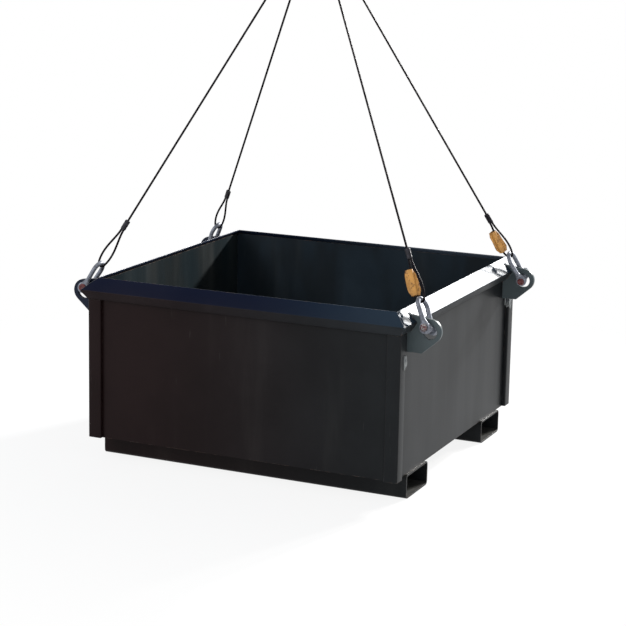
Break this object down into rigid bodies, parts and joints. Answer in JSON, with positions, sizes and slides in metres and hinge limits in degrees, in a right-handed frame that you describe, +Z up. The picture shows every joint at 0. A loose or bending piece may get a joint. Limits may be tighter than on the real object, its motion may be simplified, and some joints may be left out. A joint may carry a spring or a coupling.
{
  "type": "crane lift box",
  "caption": "Open-top welded steel lifting box with folded rim, fork pockets, corner lugs, bow shackles and wire rope sling legs drawn up towards a hook.",
  "frame": {"origin": "on the ground plane under the fork pockets, at the middle of the box", "axes": "+X to the right along the fork pockets, +Y to the back, +Z up"},
  "size_m": [1.422, 1.21, 1.8785],
  "materials": {
    "box_paint": "semi-gloss, worn",
    "galvanised": "galvanised, dulled",
    "pin_lacquer": "red lacquer, worn",
    "wire_rope": "dark, oiled",
    "sleeve": "pressed sleeve",
    "tag_sheet": "matt amber"
  },
  "bodies": {
    "box": {"floor_plate": "box_paint", "front_panel": "box_paint", "back_panel": "box_paint", "left_panel": "box_paint", "right_panel": "box_paint", "corner_post_front_left": "box_paint", "corner_post_front_right": "box_paint", "corner_post_back_right": "box_paint", "corner_post_back_left": "box_paint", "rim_rail_front": "box_paint", "rim_rail_right": "box_paint", "rim_rail_back": "box_paint", "rim_rail_left": "box_paint", "fork_pocket_front": "box_paint", "fork_pocket_back": "box_paint", "lifting_lug_front_left": "box_paint", "lifting_lug_front_right": "box_paint", "lifting_lug_back_left": "box_paint", "lifting_lug_back_right": "box_paint"},
    "shackle_front_left": {"shackle_bow_front_left": "galvanised", "shackle_pin_front_left": "pin_lacquer", "shackle_nut_front_left": "galvanised"},
    "sling_front_left": {"lower_eye_front_left": "wire_rope", "lower_ferrule_front_left": "sleeve", "rope_front_left": "wire_rope", "upper_ferrule_front_left": "sleeve", "upper_eye_front_left": "wire_rope"},
    "shackle_front_right": {"shackle_bow_front_right": "galvanised", "shackle_pin_front_right": "pin_lacquer", "shackle_nut_front_right": "galvanised"},
    "sling_front_right": {"lower_eye_front_right": "wire_rope", "lower_ferrule_front_right": "sleeve", "rope_front_right": "wire_rope", "upper_ferrule_front_right": "sleeve", "upper_eye_front_right": "wire_rope"},
    "tag_front_right": {"load_tag_front_right": "tag_sheet"},
    "shackle_back_left": {"shackle_bow_back_left": "galvanised", "shackle_pin_back_left": "pin_lacquer", "shackle_nut_back_left": "galvanised"},
    "sling_back_left": {"lower_eye_back_left": "wire_rope", "lower_ferrule_back_left": "sleeve", "rope_back_left": "wire_rope", "upper_ferrule_back_left": "sleeve", "upper_eye_back_left": "wire_rope"},
    "shackle_back_right": {"shackle_bow_back_right": "galvanised", "shackle_pin_back_right": "pin_lacquer", "shackle_nut_back_right": "galvanised"},
    "sling_back_right": {"lower_eye_back_right": "wire_rope", "lower_ferrule_back_right": "sleeve", "rope_back_right": "wire_rope", "upper_ferrule_back_right": "sleeve", "upper_eye_back_right": "wire_rope"},
    "tag_back_right": {"load_tag_back_right": "tag_sheet"}
  },
  "joints": [
    {"name": "shackle_swing_front_left", "type": "hinge", "parent": "box", "child": "shackle_front_left", "pos_m": [-0.66362, -0.491, 0.60979], "axis": [0.14, -0.9495, 0.2806], "range_deg": [0, 95]},
    {"name": "sling_swing_front_left", "type": "hinge", "parent": "shackle_front_left", "child": "sling_front_left", "pos_m": [-0.61784, -0.45713, 0.70155], "axis": [0.14, -0.9495, 0.2806], "range_deg": [0, 45]},
    {"name": "shackle_swing_front_right", "type": "hinge", "parent": "box", "child": "shackle_front_right", "pos_m": [0.66362, -0.491, 0.60979], "axis": [0.14, 0.9495, -0.2806], "range_deg": [0, 95]},
    {"name": "sling_swing_front_right", "type": "hinge", "parent": "shackle_front_right", "child": "sling_front_right", "pos_m": [0.61784, -0.45713, 0.70155], "axis": [0.14, 0.9495, -0.2806], "range_deg": [0, 45]},
    {"name": "tag_turn_front_right", "type": "hinge", "parent": "sling_front_right", "child": "tag_front_right", "pos_m": [0.59405, -0.45199, 0.70708], "axis": [-0.3385, 0.3123, 0.8876], "range_deg": [-8, 136]},
    {"name": "shackle_swing_back_left", "type": "hinge", "parent": "box", "child": "shackle_back_left", "pos_m": [-0.66362, 0.491, 0.60979], "axis": [-0.14, -0.9495, -0.2806], "range_deg": [0, 95]},
    {"name": "sling_swing_back_left", "type": "hinge", "parent": "shackle_back_left", "child": "sling_back_left", "pos_m": [-0.61784, 0.45713, 0.70155], "axis": [-0.14, -0.9495, -0.2806], "range_deg": [0, 45]},
    {"name": "shackle_swing_back_right", "type": "hinge", "parent": "box", "child": "shackle_back_right", "pos_m": [0.66362, 0.491, 0.60979], "axis": [-0.14, 0.9495, 0.2806], "range_deg": [0, 95]},
    {"name": "sling_swing_back_right", "type": "hinge", "parent": "shackle_back_right", "child": "sling_back_right", "pos_m": [0.61784, 0.45713, 0.70155], "axis": [-0.14, 0.9495, 0.2806], "range_deg": [0, 45]},
    {"name": "tag_turn_back_right", "type": "hinge", "parent": "sling_back_right", "child": "tag_back_right", "pos_m": [0.59405, 0.45199, 0.70708], "axis": [-0.3385, -0.3123, 0.8876], "range_deg": [-8, 136]}
  ]
}
